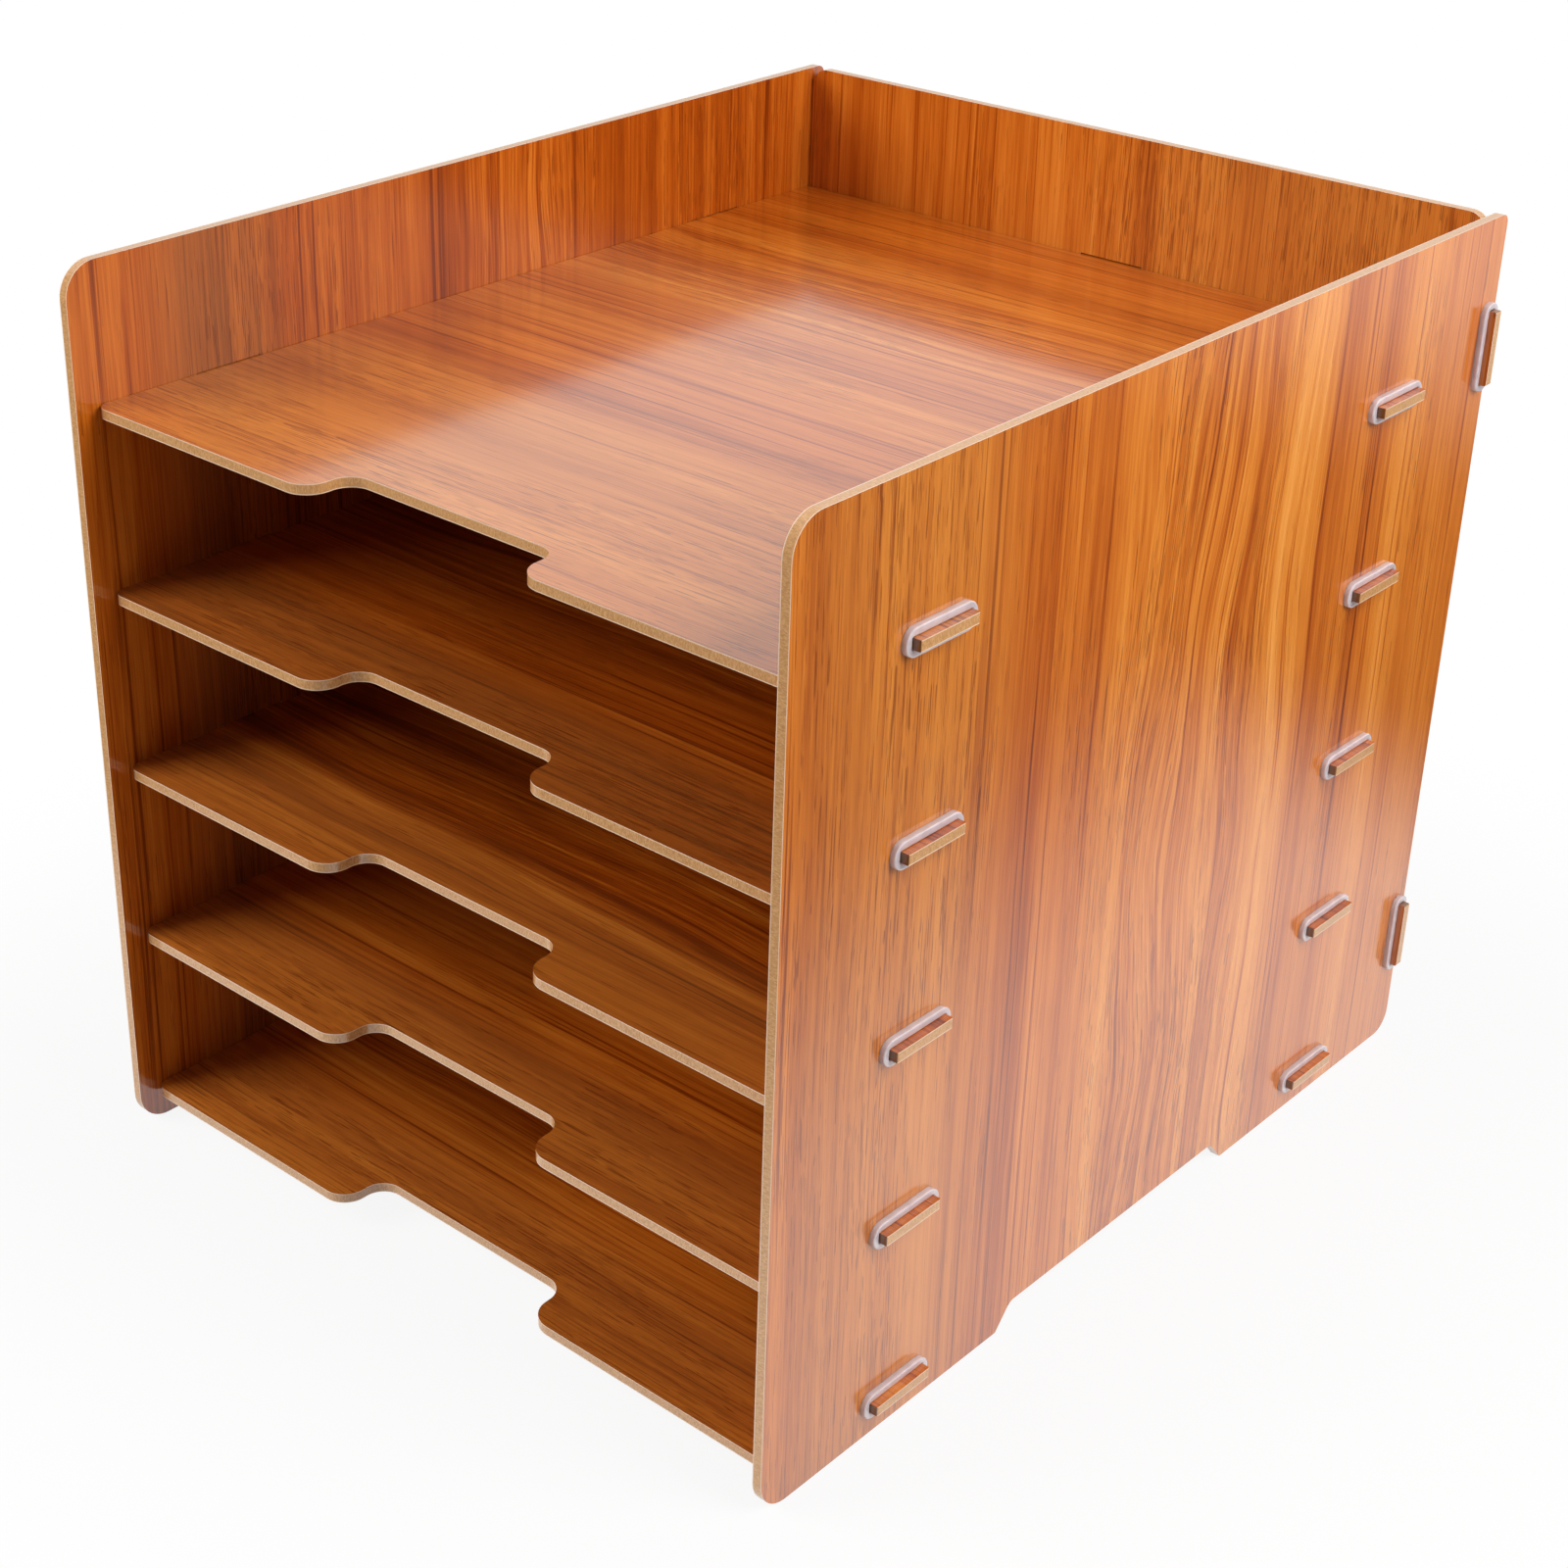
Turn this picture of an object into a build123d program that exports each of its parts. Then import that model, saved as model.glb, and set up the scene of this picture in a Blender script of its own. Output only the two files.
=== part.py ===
from build123d import *
import os
from math import sqrt

os.makedirs("parts", exist_ok=True)

# Tiered desk organizer: a knock-down rack for A4 paper, cut from thin film-faced fibreboard.
# X runs across the width, Y from front to back and Z up. The rack stands on Z = 0 and faces -Y.

# Overall size over the two side panels, and the board they are cut from
overall_width = 255.0
panel_depth = 315.0
panel_height = 274.0
board = 3.0

# Side panels: rounded corners, and a low arch between the front foot and the rear foot
panel_front_radius = 10.0
panel_rear_top_radius = 3.0
panel_rear_foot_radius = 7.0
arch_height = 7.4
arch_crown_width = 102.2
arch_side_run = 6.3
arch_radius = 4.0

# Shelves: the top one is the floor of the open tray, the rest are spread evenly down to the bottom one
shelf_names = ["top_shelf", "upper_shelf", "middle_shelf", "lower_shelf", "bottom_shelf"]
top_tray_depth = 40.4
bottom_clearance = 9.0
shelf_front_setback = 6.0
shelf_side_clearance = 0.25
shelf_rear_clearance = 0.25
shelf_corner_radius = 4.0

# Finger notch in the front edge of each shelf
notch_width = 75.0
notch_depth = 15.5
notch_mouth_radius = 7.5
notch_root_radius = 6.5

# Back panel, between the side panels and just inside their rear edges
back_panel_setback = 3.1
back_panel_lift = 7.4
back_side_clearance = 0.25
back_panel_corner_radius = 6.0

# Tabs on the shelves and the back panel, and the slots they pass through
tab_width = 22.2
tab_end_radius = 0.5
tab_projection = 4.0
back_tab_projection = 3.7
rear_tab_projection = 3.0
shelf_tab_front_inset = 47.0
shelf_tab_rear_inset = 48.8
back_tab_inset = 38.4
slot_play = 0.25
rear_slot_play = 0.4
slot_end_clearance = 0.5

# Locking rings, pushed over the tab ends, seated on the face of the panel and hanging on their tabs
ring_wall = 2.1
ring_height = 1.7
ring_end_clearance = 0.25
ring_side_clearance = 0.2
ring_top_play = 0.08
ring_edge_round = 0.35

# Faces and edges that the pieces share
outer_face = overall_width / 2
inner_face = outer_face - board
panel_front = -panel_depth / 2
panel_rear = panel_depth / 2
arch_mouth_width = arch_crown_width + 2 * arch_side_run
back_rear_face = panel_rear - back_panel_setback
back_front_face = back_rear_face - board
back_middle = (back_front_face + back_rear_face) / 2
shelf_front = panel_front + shelf_front_setback
shelf_rear = back_front_face - shelf_rear_clearance
shelf_half_width = inner_face - shelf_side_clearance
back_half_width = inner_face - back_side_clearance
tab_reach = outer_face + tab_projection
back_tab_reach = outer_face + back_tab_projection
rear_tab_reach = back_rear_face + rear_tab_projection

# Levels of the shelves' upper faces, from the top tray down
top_level = panel_height - top_tray_depth
bottom_level = bottom_clearance + board
tier_pitch = (top_level - bottom_level) / (len(shelf_names) - 1)
shelf_levels = [top_level - tier * tier_pitch for tier in range(len(shelf_names))]

# Centres of the tabs
front_tab_y = shelf_front + shelf_tab_front_inset
rear_tab_y = back_front_face - shelf_tab_rear_inset
upper_tab_z = panel_height - back_tab_inset
lower_tab_z = back_tab_inset

# Slots clear both ends of a tab. A shelf tab rests on the lower side of its slot, with all the play above,
# and a back panel tab lies against the rear side of its slot, with the play in front
slot_length = tab_width + 2 * slot_end_clearance
slot_opening = board + slot_play
rear_slot_opening = board + rear_slot_play
slot_levels = [level - board + slot_opening / 2 for level in shelf_levels]
rear_slot_levels = [level - board + rear_slot_opening / 2 for level in shelf_levels]
back_slot_y = back_rear_face - slot_opening / 2

# A fillet never takes more than its own wall
notch_mouth_fillet = min(notch_mouth_radius, 0.5 * notch_depth)
notch_root_fillet = min(notch_root_radius, 0.45 * notch_depth)
tab_end_fillet = min(tab_end_radius, 0.45 * tab_width)
ring_edge_fillet = min(ring_edge_round, 0.25 * ring_wall, 0.9 * ring_height)

# Ring: an oblong round the tab, its bore rounded just short of the tab's square corners
ring_bore_length = tab_width + 2 * ring_end_clearance
ring_bore_height = board + 2 * ring_side_clearance
ring_corner_room = min(ring_end_clearance, ring_side_clearance)
ring_bore_radius = 0.85 * (ring_corner_room + ring_top_play + sqrt(2 * ring_corner_room * ring_top_play))
ring_length = ring_bore_length + 2 * ring_wall
ring_breadth = ring_bore_height + 2 * ring_wall
shelf_ring_drop = ring_side_clearance - ring_top_play
back_ring_drop = ring_end_clearance - ring_top_play


# Right side panel: one board on edge, with slots for the shelf tabs and the back panel tabs
with BuildPart() as right_side_panel:
    with BuildSketch(Plane.YZ.offset(inner_face)) as outline:
        with BuildLine():
            Polyline(
                (panel_front, 0),
                (-arch_mouth_width / 2, 0),
                (-arch_crown_width / 2, arch_height),
                (arch_crown_width / 2, arch_height),
                (arch_mouth_width / 2, 0),
                (panel_rear, 0),
                (panel_rear, panel_height),
                (panel_front, panel_height),
                close=True,
            )
        make_face()
        fillet(outline.vertices().group_by(Axis.X)[0], panel_front_radius)
        rear_corners = outline.vertices().group_by(Axis.X)[-1].sort_by(Axis.Y)
        fillet(rear_corners[-1], panel_rear_top_radius)
        rear_corners = outline.vertices().group_by(Axis.X)[-1].sort_by(Axis.Y)
        fillet(rear_corners[0], panel_rear_foot_radius)
        arch = outline.vertices().filter_by_position(
            Axis.X, -arch_mouth_width / 2, arch_mouth_width / 2
        )
        fillet(arch.filter_by_position(Axis.Y, 0, arch_height), arch_radius)
        for slot_z in slot_levels:
            with Locations((front_tab_y, slot_z), (rear_tab_y, slot_z)):
                Rectangle(slot_length, slot_opening, mode=Mode.SUBTRACT)
        with Locations((back_slot_y, upper_tab_z), (back_slot_y, lower_tab_z)):
            Rectangle(slot_opening, slot_length, mode=Mode.SUBTRACT)
    extrude(amount=board)
right_side_panel.part.label = "right_side_panel"
export_step(right_side_panel.part, "parts/right_side_panel.step")


# Left side panel: the right one mirrored
with BuildPart() as left_side_panel:
    mirror(right_side_panel.part, about=Plane.YZ)
left_side_panel.part.label = "left_side_panel"
export_step(left_side_panel.part, "parts/left_side_panel.step")


# Back panel: a board between the side panels, with two tabs each side and a slot for each shelf
with BuildPart() as back_panel:
    with BuildSketch(Plane.XZ.offset(-back_rear_face)) as outline:
        with Locations((0, (back_panel_lift + panel_height) / 2)):
            Rectangle(2 * back_half_width, panel_height - back_panel_lift)
        fillet(outline.vertices().group_by(Axis.Y)[-1], back_panel_corner_radius)
        with Locations((0, upper_tab_z), (0, lower_tab_z)):
            Rectangle(2 * back_tab_reach, tab_width)
        tab_ends = outline.vertices().group_by(Axis.X)
        fillet(tab_ends[0] + tab_ends[-1], tab_end_fillet)
        for slot_z in rear_slot_levels:
            with Locations((0, slot_z)):
                Rectangle(slot_length, rear_slot_opening, mode=Mode.SUBTRACT)
    extrude(amount=board)
back_panel.part.label = "back_panel"
export_step(back_panel.part, "parts/back_panel.step")


# Shelves: boards between the side panels, with a finger notch in front and tabs at the sides and rear
for shelf_name, level in zip(shelf_names, shelf_levels):
    with BuildPart() as shelf:
        with BuildSketch(Plane.XY.offset(level - board)) as outline:
            with BuildLine():
                Polyline(
                    (-shelf_half_width, shelf_front),
                    (-notch_width / 2, shelf_front),
                    (-notch_width / 2, shelf_front + notch_depth),
                    (notch_width / 2, shelf_front + notch_depth),
                    (notch_width / 2, shelf_front),
                    (shelf_half_width, shelf_front),
                    (shelf_half_width, shelf_rear),
                    (-shelf_half_width, shelf_rear),
                    close=True,
                )
            make_face()
            front_corners = outline.vertices().group_by(Axis.Y)[0].sort_by(Axis.X)
            fillet([front_corners[0], front_corners[-1]], shelf_corner_radius)
            notch_mouth = outline.vertices().group_by(Axis.Y)[0].sort_by(Axis.X)
            fillet(notch_mouth[1:-1], notch_mouth_fillet)
            notch_root = outline.vertices().filter_by_position(
                Axis.Y, shelf_front + notch_depth - 0.01, shelf_front + notch_depth + 0.01
            )
            fillet(notch_root, notch_root_fillet)
            with Locations((0, front_tab_y), (0, rear_tab_y)):
                Rectangle(2 * tab_reach, tab_width)
            with Locations((0, (rear_tab_y + rear_tab_reach) / 2)):
                Rectangle(tab_width, rear_tab_reach - rear_tab_y)
            tab_ends = outline.vertices().group_by(Axis.X)
            fillet(tab_ends[0] + tab_ends[-1], tab_end_fillet)
            fillet(outline.vertices().group_by(Axis.Y)[-1], tab_end_fillet)
        extrude(amount=board)
    shelf.part.label = shelf_name
    export_step(shelf.part, f"parts/{shelf_name}.step")


# Seats of the locking rings: each lies on a panel's outer face, long side along the tab's width
ring_seats = {}
for side, outward in (("right", 1), ("left", -1)):
    face = outward * outer_face
    for tier, level in enumerate(shelf_levels, start=1):
        for column, tab_y in (("front", front_tab_y), ("rear", rear_tab_y)):
            ring_seats[f"{side}_{column}_ring_{tier}"] = Plane(
                origin=(face, tab_y, level - board / 2 - shelf_ring_drop),
                x_dir=(0, 1, 0),
                z_dir=(outward, 0, 0),
            )
    for height_name, tab_z in (("upper", upper_tab_z), ("lower", lower_tab_z)):
        ring_seats[f"{side}_back_ring_{height_name}"] = Plane(
            origin=(face, back_middle, tab_z - back_ring_drop), x_dir=(0, 0, 1), z_dir=(outward, 0, 0)
        )
for tier, level in enumerate(shelf_levels, start=1):
    ring_seats[f"rear_ring_{tier}"] = Plane(
        origin=(0, back_rear_face, level - board / 2 - shelf_ring_drop), x_dir=(1, 0, 0), z_dir=(0, 1, 0)
    )


# Locking rings: flat oblong plastic rings with softened outer edges
for ring_name, seat in ring_seats.items():
    with BuildPart() as ring:
        with BuildSketch(seat):
            SlotOverall(ring_length, ring_breadth)
            RectangleRounded(ring_bore_length, ring_bore_height, ring_bore_radius, mode=Mode.SUBTRACT)
        extrude(amount=ring_height)
        crown = ring.faces().sort_by(Axis(seat.origin, seat.z_dir))[-1]
        fillet(crown.edges(), ring_edge_fillet)
    ring.part.label = ring_name
    export_step(ring.part, f"parts/{ring_name}.step")
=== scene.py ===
# %% [markdown]
# # A tiered desk organizer
# The object is a knock-down paper rack: two side panels, a back panel and five shelves, cut from 3 mm
# fibreboard with a printed wood-grain film on both faces, and locked together by plastic rings pushed
# over the tabs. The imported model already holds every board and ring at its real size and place, so this
# lesson gives them their finishes, sets the light and places the camera.

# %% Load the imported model
from math import radians
from types import SimpleNamespace

import bpy
from mathutils import Matrix, Vector


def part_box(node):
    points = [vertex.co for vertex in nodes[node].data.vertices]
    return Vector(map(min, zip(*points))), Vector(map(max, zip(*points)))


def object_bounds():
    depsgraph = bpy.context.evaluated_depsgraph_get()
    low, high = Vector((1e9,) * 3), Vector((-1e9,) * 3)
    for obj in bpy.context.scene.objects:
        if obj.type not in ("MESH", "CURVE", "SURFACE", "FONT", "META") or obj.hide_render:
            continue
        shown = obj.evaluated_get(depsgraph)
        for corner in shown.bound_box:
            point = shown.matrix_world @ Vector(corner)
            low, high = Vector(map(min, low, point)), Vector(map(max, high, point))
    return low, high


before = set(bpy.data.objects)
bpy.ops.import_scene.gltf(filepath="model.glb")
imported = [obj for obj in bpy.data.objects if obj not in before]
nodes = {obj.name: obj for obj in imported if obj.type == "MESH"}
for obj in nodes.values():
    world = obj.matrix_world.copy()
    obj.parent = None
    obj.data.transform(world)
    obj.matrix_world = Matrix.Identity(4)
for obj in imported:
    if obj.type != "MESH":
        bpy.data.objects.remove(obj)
cad_low, cad_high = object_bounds()
MM = 0.001
bpy.ops.object.select_all(action="DESELECT")
print("loaded", len(nodes), "pieces, box", [round(x / MM, 1) for x in cad_high - cad_low], "mm")

# %% [markdown]
# ## Sorting the pieces
# Three kinds of board take three ways of laying the film: panels that stand face to face across the
# width, the back panel that closes the rear, and shelves that lie flat. The names tell them apart, so no
# list of names has to be kept up to date. The rings are all moulded alike.

# %% Sort the pieces by what they are
side_panels = sorted(name for name in nodes if name.endswith("side_panel"))
shelves = sorted(name for name in nodes if name.endswith("shelf"))
rings = sorted(name for name in nodes if "_ring_" in name)
print(len(side_panels), "side panels,", len(shelves), "shelves,", len(rings), "rings")

# %% [markdown]
# ## The camera
# The rack was seen from the right of its front and from above, from under a metre away, so the verticals
# lean together. A camera takes a place, a lens and three turns: round the rack, down towards it, and a
# slight tilt of the horizon. The picture was cut off-centre, and the lens shift puts that back without
# turning the view.

# %% Place the camera
camera_place = Vector((0.46697, -0.57078, 0.49591))
camera_azimuth = radians(42.432)
camera_down = radians(27.39)
camera_tilt = radians(0.522)
focal_length_mm = 63.28
sensor_width_mm = 36
shift_right, shift_up = 0.0815, -0.0197
nearest_seen = 0.01

bpy.ops.object.camera_add(location=camera_place)
camera = bpy.context.object
camera.name = "camera"
turn = Matrix.Rotation(camera_azimuth, 3, "Z")
nod = Matrix.Rotation(radians(90) - camera_down, 3, "X")
tilt = Matrix.Rotation(camera_tilt, 3, "Z")
camera.rotation_euler = (turn @ nod @ tilt).to_euler()
camera.data.sensor_width = sensor_width_mm
camera.data.lens = focal_length_mm
camera.data.shift_x = shift_right
camera.data.shift_y = shift_up
camera.data.clip_start = nearest_seen
bpy.context.scene.camera = camera
print("camera", round(camera_place.length, 3), "m from the foot of the rack")

# %% [markdown]
# ## Helpers for finishes
# Colours are written as sRGB hex values, as a paint chart gives them, while shaders work in linear light,
# so one function turns the first into the second. Another adds a node with its settings and links: a
# value that is itself a socket is linked, and any other value is set on the input. Two small ones fill a
# colour ramp and start an empty material.

# %% Helpers for colours and nodes
# A Mix node numbers its sockets by kind: two inputs and a result for colours, and the same for values
COLOUR_A, COLOUR_B, COLOUR_OUT = 6, 7, 2
VALUE_A, VALUE_B, VALUE_OUT = 2, 3, 0


def linear(code):
    """An sRGB hex colour as linear red, green, blue and alpha."""
    parts = [int(code[i:i + 2], 16) / 255 for i in (1, 3, 5)]
    return tuple(p / 12.92 if p <= 0.04045 else ((p + 0.055) / 1.055) ** 2.4 for p in parts) + (1.0,)


def add(tree, kind, inputs=None, **settings):
    """A new shader node, with its settings, and each input linked to a socket or set to a value."""
    node = tree.nodes.new("ShaderNode" + kind)
    for name, value in settings.items():
        setattr(node, name, value)
    for name, value in (inputs or {}).items():
        if isinstance(value, bpy.types.NodeSocket):
            tree.links.new(value, node.inputs[name])
        else:
            node.inputs[name].default_value = value
    return node


def shade(ramp, stops):
    """Gives a Color Ramp node its stops, a list of places from 0 to 1 with their colours."""
    stock = ramp.color_ramp.elements
    for place, _ in stops[2:]:
        stock.new(place)
    for element, (place, colour) in zip(stock, stops):
        element.position = place
        element.color = colour


def new_material(name):
    """An empty node material and its tree."""
    material = bpy.data.materials.new(name)
    material.use_nodes = True
    material.node_tree.nodes.clear()
    return material, material.node_tree


print("mid orange in linear light:", [round(x, 3) for x in linear("#C8702C")])

# %% [markdown]
# ## The wood-grain film
# The film is a printed plastic sheet under a clear wear layer, embossed along its pores. To the eye it is
# a reddish teak: golden and red-brown bands a few centimetres wide, streaks and fine lines inside them,
# and short dark pores, all running one way.
#
# An image could carry the print, but nodes stay sharp at any distance and differ from board to board. Each
# pattern is one noise, stretched along the grain: its two sizes are the real width and length of the
# marks. It is read by the place on the film in millimetres, so sizes are written as a ruler gives them.

# %% Place on the film
def start_film(tree, across, along, through, seed):
    """What the patterns on one board need: its tree, seed, normal, and place in metres and on the film.

    The place on the film is in mm: X across the grain, Y along it and Z through the board.
    """
    source = add(tree, "TexCoord").outputs
    metres = add(tree, "SeparateXYZ", {0: source["Object"]}).outputs
    normal = add(tree, "SeparateXYZ", {0: source["Normal"]}).outputs
    sheet = add(tree, "CombineXYZ", {"X": metres[across], "Y": metres[along], "Z": metres[through]})
    place = add(tree, "VectorMath", {
        0: sheet.outputs[0], 1: (1 / MM,) * 3
    }, operation="MULTIPLY").outputs[0]
    mm = add(tree, "SeparateXYZ", {0: place}).outputs
    return SimpleNamespace(tree=tree, seed=seed, metres=metres, normal=normal, place=place, mm=mm)


print("the film is measured in steps of", MM, "m")

# %% [markdown]
# ### Patterns to build with
# Three helpers make every mark of the print: a stretched noise, a value that is strongest at one place
# across the grain, and a soft threshold. The noise also changes through the board, so that its two faces
# differ, and each board and each pattern reads another part of it.

# %% Noise, places and thresholds
change_through = 0.7             # how far a pattern moves on through 1 mm of board
shift_along = 1.7                # a pattern's shift along the grain, for a shift of 1 across it
seed_step = 2.3                  # the distance in the noise from one board to the next
ease_from, ease_to = 0.4, 1.2    # the shares of a half width between which a place fades out
noise_middle = 0.5               # the mean of every noise


def stretched_noise(film, place, size_mm, shift, detail=1.0, roughness=0.5):
    """Noise whose marks have a width and a length in mm."""
    width, length = size_mm
    spread = add(film.tree, "VectorMath", {
        0: place,
        1: (1 / width, 1 / length, change_through),
        2: (shift, shift_along * shift, seed_step * film.seed),
    }, operation="MULTIPLY_ADD")
    return add(film.tree, "TexNoise", {
        "Vector": spread.outputs[0], "Scale": 1.0, "Detail": detail, "Roughness": roughness
    }).outputs["Fac"]


def from_place(film, centre, half_width, inner, outer):
    """A value that is inner at a place across the grain and eases to outer about its half width."""
    off = add(film.tree, "Math", {0: film.mm["X"], 1: centre}, operation="SUBTRACT")
    aside = add(film.tree, "Math", {0: off.outputs[0]}, operation="ABSOLUTE")
    return add(film.tree, "MapRange", {
        "Value": aside.outputs[0], "From Min": ease_from * half_width, "From Max": ease_to * half_width,
        "To Min": inner, "To Max": outer
    }, interpolation_type="SMOOTHSTEP").outputs[0]


def past(film, value, least, most, result=1.0):
    """0 up to the least value, easing to the result at the most."""
    return add(film.tree, "MapRange", {
        "Value": value, "From Min": least, "From Max": most, "To Min": 0.0, "To Max": result
    }, interpolation_type="SMOOTHSTEP").outputs[0]


print("a place fades out from", ease_from, "to", ease_to, "of its half width")

# %% [markdown]
# ### Lines that wander
# Where a plank is sawn flat through its heart, its growth lines swing in arches, and beside it they run
# nearly straight. Drawing the lines one by one would be endless. Instead the place across the grain is
# pushed aside by a slow noise, strongest in the heart, and the later patterns are read at the pushed
# place, so all of them swing together.

# %% Wandering lines
wander_size_mm = (48.0, 130.0)
wander_shift = 3.1
straight_wander_mm = 3.0


def wandering_lines(film, heart):
    """The place across the grain, pushed aside, and the whole place on the film with that in it."""
    heart_place, heart_half, wander_mm = heart
    swing = from_place(film, heart_place, heart_half, wander_mm, straight_wander_mm)
    slow = add(film.tree, "Math", {
        0: stretched_noise(film, film.place, wander_size_mm, wander_shift), 1: noise_middle
    }, operation="SUBTRACT")
    pushed = add(film.tree, "Math", {
        0: slow.outputs[0], 1: swing, 2: film.mm["X"]
    }, operation="MULTIPLY_ADD").outputs[0]
    lines = add(film.tree, "CombineXYZ", {"X": pushed, "Y": film.mm["Y"], "Z": film.mm["Z"]})
    return pushed, lines.outputs[0]


print("lines swing over", wander_size_mm, "mm")

# %% [markdown]
# ### Tone of the print
# The tone runs from 0, dark red-brown, to 1, golden. Each board has its own tone, with a few dark or
# golden streaks at chosen places: a colour ramp across the board holds them as its stops. Noise alone
# would put them anywhere. It adds the bands and the grain, strongest in the heart, and thin dark veins are
# taken away from the tone at the end.

# %% Streaks, bands, grain and veins
# Width and length in mm, how often the marks repeat at half the size, and how far they move the tone
print_marks = {
    "bands": (40.0, 900.0, 0, 0.5),
    "grain": (16.0, 900.0, 6, 2.4),
}
mark_shift = 5.3
mark_roughness = 1.0             # each repeat is as strong as the one before
calm_share = 0.55                # how much of a mark is left beside the heart
vein_size_mm = (1.3, 240.0)
vein_shift, vein_detail = 8.3, 2.0
vein_start, vein_full = 0.57, 0.72
vein_depth = 0.36


def streak_tone(film, pushed, reach, base, streaks):
    """The board's own tone with its streaks. reach is the board's two sides across the grain, in mm."""
    low, high = reach
    stops = {}
    for centre, half_width, depth in sorted(streaks):
        for step, tone in ((-half_width, base), (0, base - depth), (half_width, base)):
            stops[(centre + step - low) / (high - low)] = (tone, tone, tone, 1.0)
    share = add(film.tree, "MapRange", {"Value": pushed, "From Min": low, "From Max": high})
    layout = add(film.tree, "ValToRGB", {0: share.outputs[0]})
    layout.color_ramp.interpolation = "EASE"
    shade(layout, sorted(stops.items()))
    return layout.outputs["Color"]


def print_tone(film, lines, tone, heart):
    """The tone of the streaks with the bands, the grain and the veins of the print."""
    heart_place, heart_half, _ = heart
    for number, (width, length, repeats, depth) in enumerate(print_marks.values()):
        noise = stretched_noise(
            film, lines, (width, length), mark_shift * number, detail=repeats, roughness=mark_roughness)
        mark = add(film.tree, "Math", {0: noise, 1: noise_middle}, operation="SUBTRACT")
        strength = from_place(film, heart_place, heart_half, depth, calm_share * depth)
        tone = add(film.tree, "Math", {
            0: mark.outputs[0], 1: strength, 2: tone
        }, operation="MULTIPLY_ADD").outputs[0]
    noise = stretched_noise(film, lines, vein_size_mm, vein_shift, detail=vein_detail)
    vein = past(film, noise, vein_start, vein_full, vein_depth)
    return add(film.tree, "Math", {0: tone, 1: vein}, operation="SUBTRACT").outputs[0]


print("marks of the print:", ", ".join(print_marks), "and veins")

# %% [markdown]
# ### Pores
# Pores are short dark dashes that lie in rows along the grain, crowded in one part of the plank and scarce
# in others. Modelled one by one they would be many thousands, so a noise draws the rows, a second one
# breaks them into dashes, and a third says where they crowd. Real pores are about 0.2 mm wide. These are
# drawn wider, because thinner ones would not show in the picture.

# %% Pores
pore_row_mm, row_shift = (0.3, 24.0), 7.7
pore_dash_mm, dash_shift = (0.9, 9.0), 6.1
pore_zone_mm, zone_shift = (30.0, 140.0), 9.1
crowd_lift = 0.12                        # added to the zones where the board's pores crowd
zone_scarce, zone_crowded = 0.4, 0.65
row_scarce, row_crowded = 0.67, 0.53     # the noise past which a row shows, in such zones
row_ease = 0.06
dash_start, dash_full = 0.42, 0.5


def pore_dashes(film, lines, pores):
    """1 inside a pore and 0 beside it."""
    crowd = add(film.tree, "Math", {
        0: stretched_noise(film, lines, pore_zone_mm, zone_shift),
        1: from_place(film, *pores, crowd_lift, 0.0),
    }, operation="ADD").outputs[0]
    least = add(film.tree, "MapRange", {
        "Value": crowd, "From Min": zone_scarce, "From Max": zone_crowded,
        "To Min": row_scarce, "To Max": row_crowded
    }).outputs[0]
    row = add(film.tree, "Math", {
        0: stretched_noise(film, lines, pore_row_mm, row_shift), 1: least
    }, operation="SUBTRACT").outputs[0]
    dash = past(film, stretched_noise(film, lines, pore_dash_mm, dash_shift), dash_start, dash_full)
    return add(film.tree, "Math", {
        0: past(film, row, 0.0, row_ease), 1: dash
    }, operation="MULTIPLY").outputs[0]


print("pores in rows", pore_row_mm[0], "mm wide")

# %% [markdown]
# ### Colours of the print
# The tone picks a colour from a ramp, from dark red-brown through orange to gold. Where the pores crowd,
# the print is paler and more yellow, like sapwood, and the pores themselves are a dark red-brown. Colours
# mixed in this order keep the pores sharp on both kinds of wood.

# %% Colours of the print
film_colours = [
    (0.00, linear("#7C2F05")),
    (0.30, linear("#B1520D")),
    (0.50, linear("#CE6F1E")),
    (0.70, linear("#E2872E")),
    (1.00, linear("#F7A54D")),
]
sapwood_colour, sapwood_share = linear("#C48C46"), 0.22
pore_colour, pore_share = linear("#6E2A08"), 0.6


def print_colour(film, tone, pore, pores):
    """Heartwood by its tone, sapwood where the pores crowd, and the pores."""
    heartwood = add(film.tree, "ValToRGB", {0: tone})
    shade(heartwood, film_colours)
    wood = add(film.tree, "Mix", {
        0: from_place(film, *pores, sapwood_share, 0.0),
        COLOUR_A: heartwood.outputs[0], COLOUR_B: sapwood_colour
    }, data_type="RGBA").outputs[COLOUR_OUT]
    share = add(film.tree, "Math", {0: pore, 1: pore_share}, operation="MULTIPLY").outputs[0]
    return add(film.tree, "Mix", {
        0: share, COLOUR_A: wood, COLOUR_B: pore_colour
    }, data_type="RGBA").outputs[COLOUR_OUT]


print("film tones:", len(film_colours))

# %% [markdown]
# ## Cut edges
# The board under the film shows on every cut edge: raw tan fibreboard, speckled, between two pale lines
# where the cut goes through the film: partly the film's own pale edge, and partly a painted highlight
# along the arrises. The sides of the tabs that stand out past the panels are painted dark brown: painted
# shade, standing in for the shade beside the rings. A painted map would be needed for each board, while
# the depth in the board and the direction of the face tell the same nodes where each colour goes.

# %% Cut edges
fibre_colours = [
    (0.30, linear("#B4824C")),
    (0.50, linear("#CB9660")),
    (0.70, linear("#DCAC76")),
]
fibre_speck_mm = 0.4
saw_draw = 0.4                   # the saw draws specks out: through the board they change this much slower
# pale lines at both arrises of a cut edge: partly the film's own cut edge, partly a painted highlight of
# the arris
cut_line_highlight_colour, cut_line_highlight_mm = linear("#EED0B4"), 0.25
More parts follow.
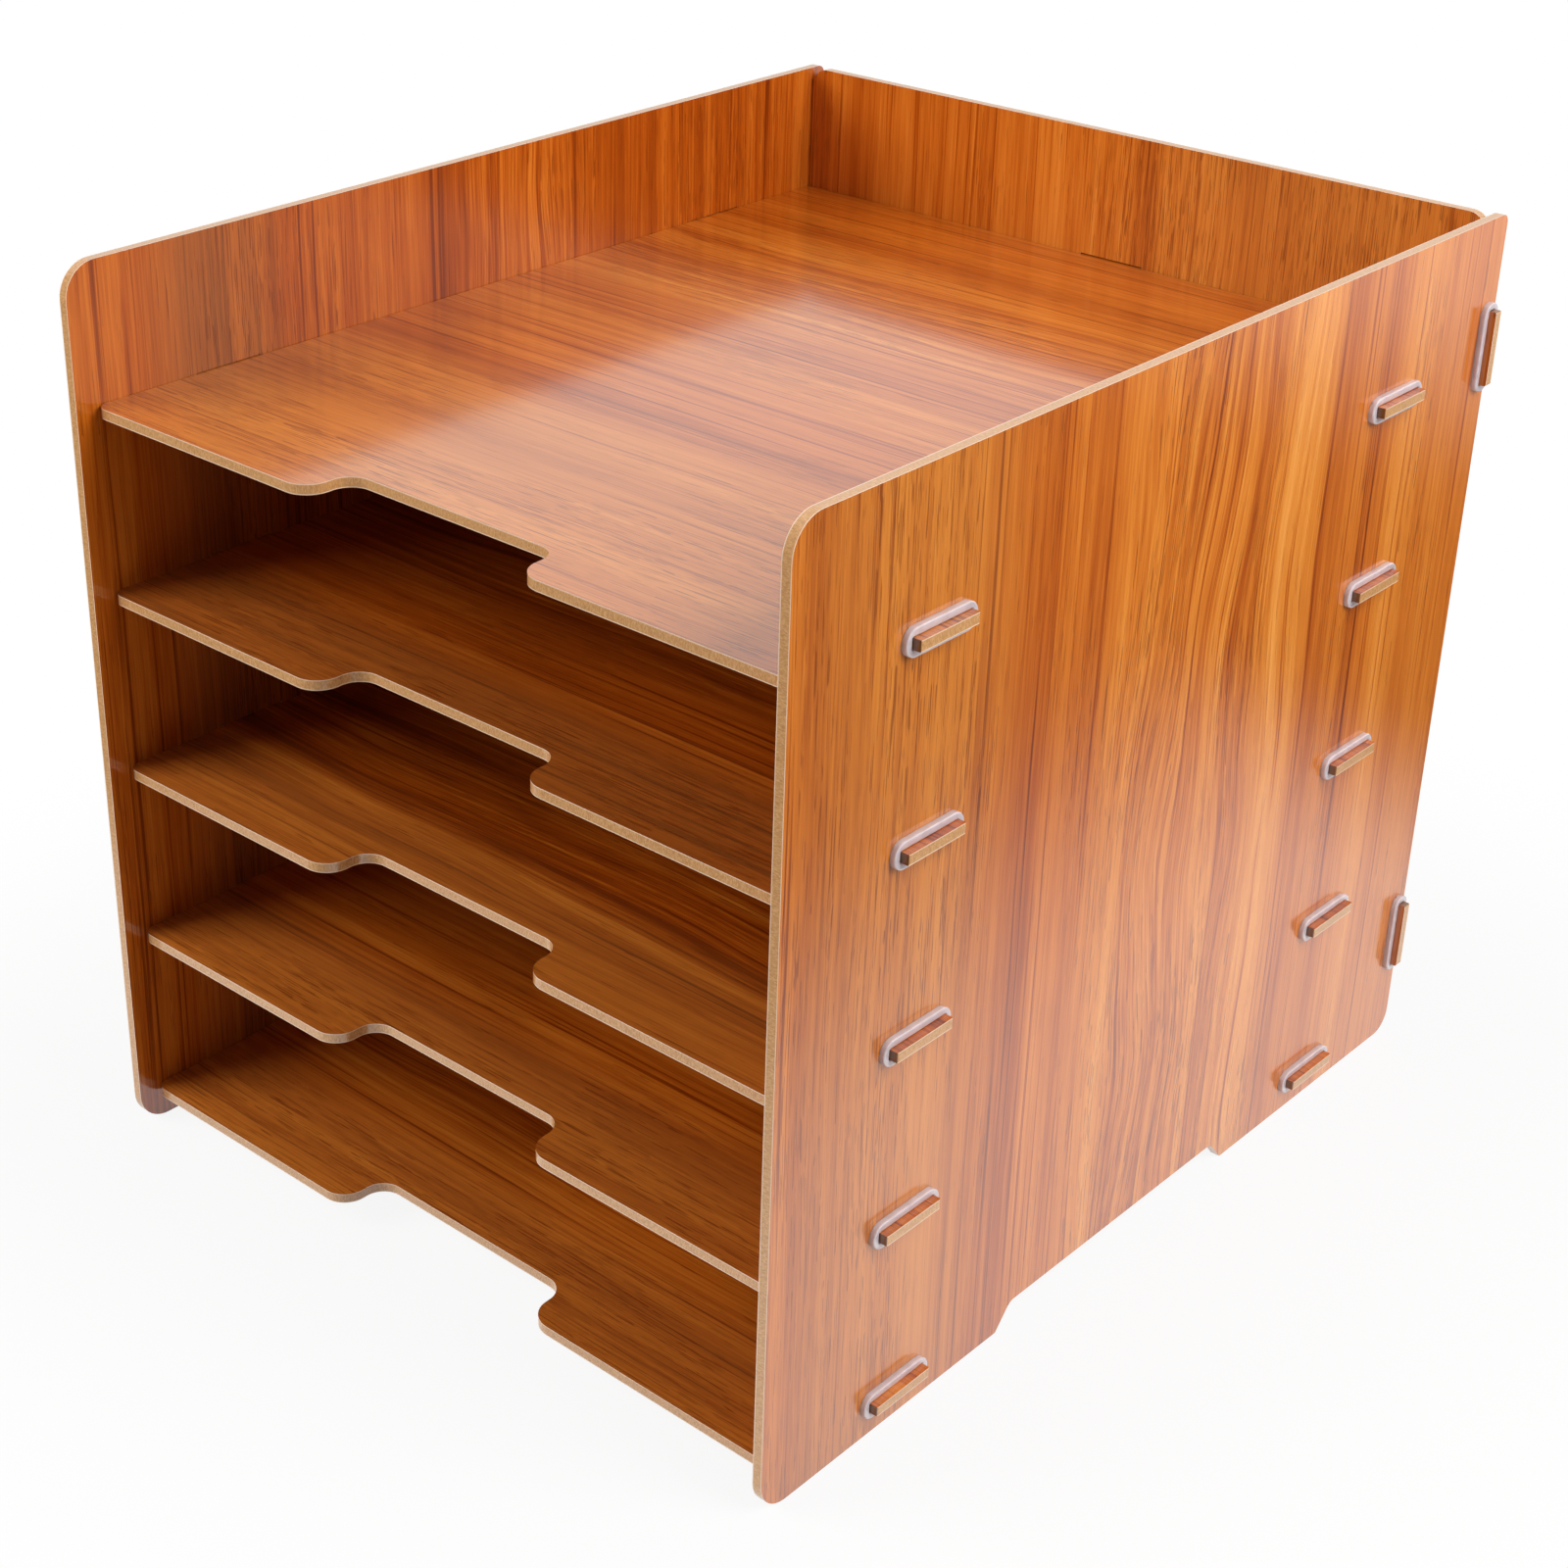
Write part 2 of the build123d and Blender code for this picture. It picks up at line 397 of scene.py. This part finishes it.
# painted shade: the sides of the tabs beside the rings are coloured dark brown for the shade they sit in
tab_side_painted_shade = linear("#7A4A22")
tab_end_least = 0.7              # a face of a tab that looks sideways by less than this is its side
outer_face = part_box("right_side_panel")[1].x


def fibre_specks(film):
    """Noise of the raw fibreboard."""
    drawn = add(film.tree, "Math", {0: film.mm["Z"], 1: saw_draw}, operation="MULTIPLY").outputs[0]
    sawn = add(film.tree, "CombineXYZ", {"X": film.mm["X"], "Y": film.mm["Y"], "Z": drawn})
    return add(film.tree, "TexNoise", {
        "Vector": sawn.outputs[0], "Scale": 1 / fibre_speck_mm, "Detail": 2.0, "Roughness": 0.7
    }).outputs["Fac"]


def edge_colour(film, speck, middle_mm, half_mm):
    """Raw fibreboard between two pale lines, part film edge and part painted highlight, and painted shade
    on the sides of the tabs.
    """
    fibre = add(film.tree, "ValToRGB", {0: speck})
    shade(fibre, fibre_colours)
    off = add(film.tree, "Math", {0: film.mm["Z"], 1: middle_mm}, operation="SUBTRACT")
    depth = add(film.tree, "Math", {0: off.outputs[0]}, operation="ABSOLUTE").outputs[0]
    # the pale lines, part film edge and part painted highlight
    at_arris_line = add(film.tree, "Math", {0: depth, 1: half_mm - cut_line_highlight_mm}, operation="GREATER_THAN")
    sawn_edge = add(film.tree, "Mix", {
        0: at_arris_line.outputs[0], COLOUR_A: fibre.outputs[0], COLOUR_B: cut_line_highlight_colour
    }, data_type="RGBA").outputs[COLOUR_OUT]

    # painted shade: the sides of the tabs beyond the panels' outer faces take the dark brown
    sideways = add(film.tree, "Math", {0: film.metres["X"]}, operation="ABSOLUTE").outputs[0]
    beyond = add(film.tree, "Math", {0: sideways, 1: outer_face}, operation="GREATER_THAN").outputs[0]
    end_on = add(film.tree, "Math", {0: film.normal["X"]}, operation="ABSOLUTE").outputs[0]
    is_side = add(film.tree, "Math", {0: end_on, 1: tab_end_least}, operation="LESS_THAN").outputs[0]
    painted_tab_shade = add(film.tree, "Math", {0: beyond, 1: is_side}, operation="MULTIPLY").outputs[0]
    return add(film.tree, "Mix", {
        0: painted_tab_shade, COLOUR_A: sawn_edge, COLOUR_B: tab_side_painted_shade
    }, data_type="RGBA").outputs[COLOUR_OUT]


print("tabs begin", round(outer_face / MM, 1), "mm from the middle")

# %% [markdown]
# ## The film-faced board
# A face shows film where its normal runs through the board, and raw board elsewhere, so one material
# serves a whole board and no face has to be picked by hand. The clear wear layer is the shader's coat: at
# a low angle it mirrors pale surroundings, as a haze. Its IOR is above a plain plastic's 1.5, to match how
# strongly the real film does so, and the print under it hardly shines by itself. Golden wood is a little
# smoother than dark wood, the emboss follows the pores, and a cut edge is slightly furry.

# %% The film-faced board
film_least = 0.5                 # a face is film where its normal runs through the board by more than this
tone_dark, tone_golden = 0.2, 0.8
roughness_dark, roughness_golden = 0.34, 0.27
edge_roughness = 0.45
film_clear, edge_clear = 1.0, 0.9
emboss_mm = 0.06


def film_faced_board(node, across, along, base, streaks, heart, pores, seed):
    """Fibreboard with wood-grain film. The grain runs along one axis. Places are across it, in mm.

    base is the board's own tone, from 0, dark red-brown, to 1, golden.
    streaks lists (place, half width, depth): depth is above 0 for a dark one, below 0 for a golden one.
    heart is (place, half width, wander): where the plank is flat-sawn, and how far its lines wander.
    pores is (place, half width): where the pores crowd together.
    """
    material, tree = new_material(f"wood_grain_film_on_fibreboard_{node}")
    through = next(axis for axis in "XYZ" if axis not in (across, along))
    reach = [corner["XYZ".index(across)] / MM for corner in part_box(node)]
    low, high = (corner["XYZ".index(through)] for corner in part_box(node))
    middle_mm, half_mm = (low + high) / 2 / MM, (high - low) / 2 / MM

    film = start_film(tree, across, along, through, seed)
    pushed, lines = wandering_lines(film, heart)
    tone = print_tone(film, lines, streak_tone(film, pushed, reach, base, streaks), heart)
    pore = pore_dashes(film, lines, pores)
    printed = print_colour(film, tone, pore, pores)
    speck = fibre_specks(film)
    edge = edge_colour(film, speck, middle_mm, half_mm)

    facing = add(tree, "Math", {0: film.normal[through]}, operation="ABSOLUTE").outputs[0]
    is_film = add(tree, "Math", {0: facing, 1: film_least}, operation="GREATER_THAN").outputs[0]
    colour = add(tree, "Mix", {0: is_film, COLOUR_A: edge, COLOUR_B: printed}, data_type="RGBA")
    gloss = add(tree, "MapRange", {
        "Value": tone, "From Min": tone_dark, "From Max": tone_golden,
        "To Min": roughness_dark, "To Max": roughness_golden
    }).outputs[0]
    rough = add(tree, "Mix", {0: is_film, VALUE_A: edge_roughness, VALUE_B: gloss}, data_type="FLOAT")
    clear = add(tree, "Mix", {0: is_film, VALUE_A: edge_clear, VALUE_B: film_clear}, data_type="FLOAT")
    furrow = add(tree, "Math", {0: pore, 1: -1.0}, operation="MULTIPLY").outputs[0]
    relief = add(tree, "Mix", {0: is_film, VALUE_A: speck, VALUE_B: furrow}, data_type="FLOAT")
    bump = add(tree, "Bump", {
        "Strength": 0.4, "Distance": emboss_mm * MM, "Height": relief.outputs[VALUE_OUT]
    })
    board = add(tree, "BsdfPrincipled", {
        "Base Color": colour.outputs[COLOUR_OUT], "Roughness": rough.outputs[VALUE_OUT],
        "IOR": 1.5, "Specular IOR Level": 0.15,
        "Coat Weight": clear.outputs[VALUE_OUT], "Coat Roughness": 0.14, "Coat IOR": 1.8,
        "Normal": bump.outputs[0]
    })
    add(tree, "OutputMaterial", {"Surface": board.outputs[0]})
    return material


print("roughness of the film", roughness_golden, "to", roughness_dark, "and of an edge", edge_roughness)

# %% [markdown]
# ## Laying the film on the boards
# On the side panels and the back panel the grain stands upright, and on the shelves it runs from side to
# side. The boards were cut from different parts of the print, so each has its own streaks and heart. A
# few main streaks are given at set places, as a joiner picks where a board's figure falls, and the noise
# fills in the rest.

# %% Choose each board's figure
figure = {
    "right_side_panel": dict(
        base=0.5, heart=(22, 50, 34), pores=(-115, 48), seed=1,
        streaks=[(-147, 8, 0.2), (-110, 22, 0.04), (-86, 4, 0.12), (-66, 16, 0.14), (-38, 6, 0.12),
                 (-18, 11, -0.16), (16, 18, -0.24), (54, 20, -0.32), (88, 14, -0.16), (116, 16, -0.14)]),
    "left_side_panel": dict(
        base=0.34, heart=(5, 32, 20), pores=(-108, 26), seed=2,
        streaks=[(-140, 8, -0.06), (-109, 24, 0.14), (-86, 3, 0.14), (-36, 18, -0.08), (8, 10, 0.08),
                 (28, 9, -0.08), (57, 4, 0.14), (95, 4, 0.1), (145, 10, -0.12)]),
    "back_panel": dict(
        base=0.54, heart=(20, 30, 8), pores=(60, 60), seed=3,
        streaks=[(-119, 5, 0.16), (-104, 10, 0.14), (-51, 8, 0.14), (-28, 14, -0.1), (-4, 4, 0.08),
                 (12, 3, 0.12), (30, 16, -0.12), (62, 10, 0.04)]),
    "top_shelf": dict(
        base=0.5, heart=(60, 40, 16), pores=(-110, 60), seed=4,
        streaks=[(-128, 22, -0.07), (-95, 5, 0.14), (-79, 9, -0.06), (-48, 13, 0.15), (-8, 14, -0.07),
                 (13, 4, 0.1), (42, 22, -0.1), (84, 6, 0.12), (112, 9, 0.12), (137, 12, 0.07)]),
    "upper_shelf": dict(
        base=0.31, heart=(-40, 50, 14), pores=(-142, 34), seed=5,
        streaks=[(-104, 5, 0.12), (-60, 14, 0.08), (20, 20, -0.06), (90, 10, 0.1)]),
    "middle_shelf": dict(
        base=0.36, heart=(-90, 50, 14), pores=(-142, 34), seed=6,
        streaks=[(-112, 6, 0.12), (-80, 14, 0.08), (0, 20, -0.06), (70, 10, 0.1)]),
    "lower_shelf": dict(
        base=0.38, heart=(20, 50, 14), pores=(-142, 34), seed=7,
        streaks=[(-120, 8, 0.1), (-60, 14, 0.08), (40, 20, -0.06), (110, 10, 0.1)]),
    "bottom_shelf": dict(
        base=0.4, heart=(-60, 50, 14), pores=(-142, 34), seed=8,
        streaks=[(-128, 6, 0.1), (-40, 14, 0.08), (30, 20, -0.06), (90, 10, 0.1)]),
}
print("figures for", len(figure), "boards")

# %% Finish the boards
for name, cut in figure.items():
    if name in side_panels:
        across, along = "Y", "Z"
    elif name in shelves:
        across, along = "Y", "X"
    else:
        across, along = "X", "Z"
    nodes[name].data.materials.clear()
    nodes[name].data.materials.append(film_faced_board(name, across, along, **cut))
    print(name, "grain along", along, "with", len(cut["streaks"]), "placed streaks")

# %% [markdown]
# ## The locking rings
# The rings are moulded in a natural, frosted polyethylene: cloudy and pale lilac-grey, with light soaking
# in and coming out again beside the wood. Clear glass would show the wood through them, and a plain pale
# paint would look chalky, so some of the light scatters under the surface and some passes through.

# %% Frosted plastic of the rings
haze_mm = 3.0
soak_mm = 1.5
haze_colours = [(0.3, linear("#D2C5C9")), (0.7, linear("#DED3D7"))]
frosted, tree = new_material("natural_frosted_polyethylene")
place = add(tree, "TexCoord").outputs["Object"]
haze = add(tree, "TexNoise", {"Vector": place, "Scale": 1 / (haze_mm * MM), "Detail": 2.0}).outputs["Fac"]
tint = add(tree, "ValToRGB", {0: haze})
shade(tint, haze_colours)
gloss = add(tree, "MapRange", {"Value": haze, "To Min": 0.26, "To Max": 0.36})
plastic = add(tree, "BsdfPrincipled", {
    "Base Color": tint.outputs[0], "Roughness": gloss.outputs[0], "IOR": 1.5,
    "Subsurface Weight": 1.0, "Subsurface Radius": (1.0, 1.0, 1.0), "Subsurface Scale": soak_mm * MM,
    "Transmission Weight": 0.1, "Coat Weight": 1.0, "Coat Roughness": 0.2, "Coat IOR": 1.65
})
add(tree, "OutputMaterial", {"Surface": plastic.outputs[0]})
for name in rings:
    nodes[name].data.materials.clear()
    nodes[name].data.materials.append(frosted)
print("frosted plastic on", len(rings), "rings")

# %% [markdown]
# ## Floor
# The rack stands on a plain floor, covered with white paper. One flat plane is enough, because the white
# room continues past its edges.

# %% Floor
floor_left, floor_right, floor_front, floor_rear = -1.4, 0.9, -1.4, 1.1
bpy.ops.object.select_all(action="DESELECT")
bpy.ops.mesh.primitive_plane_add(size=1.0)
floor = bpy.context.object
floor.name = "floor"
floor.scale = (floor_right - floor_left, floor_rear - floor_front, 1)
floor.location = ((floor_left + floor_right) / 2, (floor_front + floor_rear) / 2, 0)
bpy.ops.object.transform_apply(location=True, rotation=False, scale=True)
print("floor", [round(x, 2) for x in floor.dimensions], "m")

# %% [markdown]
# ### White paper
# The camera sees the paper as plain white, with a faint shadow close to the rack. More lamps would burn
# the rack out before the paper turned white, so camera rays meet plain white there. Rays from the glossy
# film meet a picture of their own: the paper near the rack is white, the floor beyond it is dark, and
# towards its far edge the white room shows again. That veils the lower part of a panel and leaves its
# upper part clear and deep.

# %% Distance from the rack
paper, tree = new_material("white_paper")
xyz = add(tree, "SeparateXYZ", {0: add(tree, "TexCoord").outputs["Object"]}).outputs
beside = []
for axis, reach in (("X", cad_high.x), ("Y", cad_high.y)):
    size = add(tree, "Math", {0: xyz[axis]}, operation="ABSOLUTE").outputs[0]
    beside.append(add(tree, "Math", {0: size, 1: reach}, operation="SUBTRACT").outputs[0])
away = add(tree, "Math", {0: beside[0], 1: beside[1]}, operation="MAXIMUM").outputs[0]
print("the rack covers", [round(2 * x, 3) for x in cad_high.xy], "m of the floor")

# %% White paper
plain_white = (1, 1, 1, 1)
paper_reach, paper_fade = 0.06, 0.23             # distances from the rack, in metres
paper_mirrored, floor_mirrored = 1.0, 0.02
room_start, room_full, room_mirrored = 0.56, 0.92, 0.8
shadow_reach, plain_at_rack = 0.22, 0.9          # how far the shadow shows, and the white mixed into it
near = add(tree, "MapRange", {
    "Value": away, "From Min": paper_reach, "From Max": paper_fade,
    "To Min": paper_mirrored, "To Max": floor_mirrored
}, interpolation_type="SMOOTHSTEP").outputs[0]
far = add(tree, "MapRange", {
    "Value": xyz["Y"], "From Min": room_start, "From Max": room_full,
    "To Min": 0.0, "To Max": room_mirrored
}, interpolation_type="SMOOTHSTEP").outputs[0]
mirrored = add(tree, "Math", {0: near, 1: far}, operation="MAXIMUM").outputs[0]
plain = add(tree, "MapRange", {
    "Value": away, "From Min": 0.0, "From Max": shadow_reach, "To Min": plain_at_rack, "To Max": 1.0
}, interpolation_type="SMOOTHSTEP").outputs[0]
diffuse = add(tree, "BsdfDiffuse", {"Color": linear("#DCDCDC")}).outputs[0]
white = add(tree, "Emission", {"Color": plain_white, "Strength": 1.0}).outputs[0]
mirror_image = add(tree, "Emission", {"Color": plain_white, "Strength": mirrored}).outputs[0]
path = add(tree, "LightPath").outputs
pale = add(tree, "MixShader", {0: plain, 1: diffuse, 2: white}).outputs[0]
seen = add(tree, "MixShader", {0: path["Is Camera Ray"], 1: diffuse, 2: pale}).outputs[0]
mirror_ray = add(tree, "Math", {
    0: path["Is Glossy Ray"], 1: path["Is Transmission Ray"]
}, operation="MAXIMUM").outputs[0]
surface = add(tree, "MixShader", {0: mirror_ray, 1: seen, 2: mirror_image}).outputs[0]
add(tree, "OutputMaterial", {"Surface": surface})
floor.data.materials.append(paper)
print("paper mirrored white up to", paper_reach, "m from the rack")

# %% [markdown]
# ## White room
# The room round the rack gives a little light from all sides. The camera sees it white, and so does the
# glossy film, except towards the front: behind the camera the room is dim, so the tiers mirror little and
# keep their depth. A lit backdrop could do the same, but it would add light to the rack.

# %% White room
ambient = 0.14
mirror_strength, dim_strength = 1.0, 0.12
dim_full, dim_end = -0.6, -0.1                   # direction of a ray: -1 runs to the front, 1 to the rear
world = bpy.data.worlds.new("white_room")
bpy.context.scene.world = world
world.use_nodes = True
tree = world.node_tree
tree.nodes.clear()
path = add(tree, "LightPath").outputs
mirror_ray = add(tree, "Math", {
    0: path["Is Glossy Ray"], 1: path["Is Transmission Ray"]
}, operation="MAXIMUM").outputs[0]
lit = add(tree, "MapRange", {"Value": path["Is Camera Ray"], "To Min": ambient, "To Max": 1.0}).outputs[0]
towards = add(tree, "SeparateXYZ", {0: add(tree, "TexCoord").outputs["Object"]}).outputs["Y"]
mirrored = add(tree, "MapRange", {
    "Value": towards, "From Min": dim_full, "From Max": dim_end,
    "To Min": dim_strength, "To Max": mirror_strength
}, interpolation_type="SMOOTHSTEP").outputs[0]
strength = add(tree, "Mix", {0: mirror_ray, VALUE_A: lit, VALUE_B: mirrored}, data_type="FLOAT")
room = add(tree, "Background", {"Color": plain_white, "Strength": strength.outputs[VALUE_OUT]})
add(tree, "OutputWorld", {"Surface": room.outputs[0]})
print("room light", ambient)

# %% [markdown]
# ## Lamps
# One large soft lamp to the right gives the rack its shape: it lights the right panel and the tray. A
# second one, at the left in front, lights the left panel and reaches into the tiers, which darken towards
# the back. Small lamps would draw hard shadows between the shelves. Neither lamp shows in the film, which
# mirrors the paper and the room alone.

# %% Lamps
lamps = {
    "soft_key": dict(place=(0.85, 0.12, 0.9), size=0.7, power=12.9),
    "soft_fill": dict(place=(-0.75, -1.0, 0.85), size=0.8, power=15.6),
}
aim = Vector((0, 0, cad_high.z / 2))
for name, lamp in lamps.items():
    bpy.ops.object.light_add(type="AREA", location=lamp["place"])
    light = bpy.context.object
    light.name = name
    light.data.size = lamp["size"]
    light.data.energy = lamp["power"]
    light.rotation_euler = (aim - light.location).to_track_quat("-Z", "Y").to_euler()
    light.visible_camera = False
    light.visible_glossy = False
    print(name, lamp["power"], "W")

# %% [markdown]
# ## Picture settings
# The Standard view shows colours as they are written.

# %% Finish
bpy.context.scene.view_settings.view_transform = "Standard"
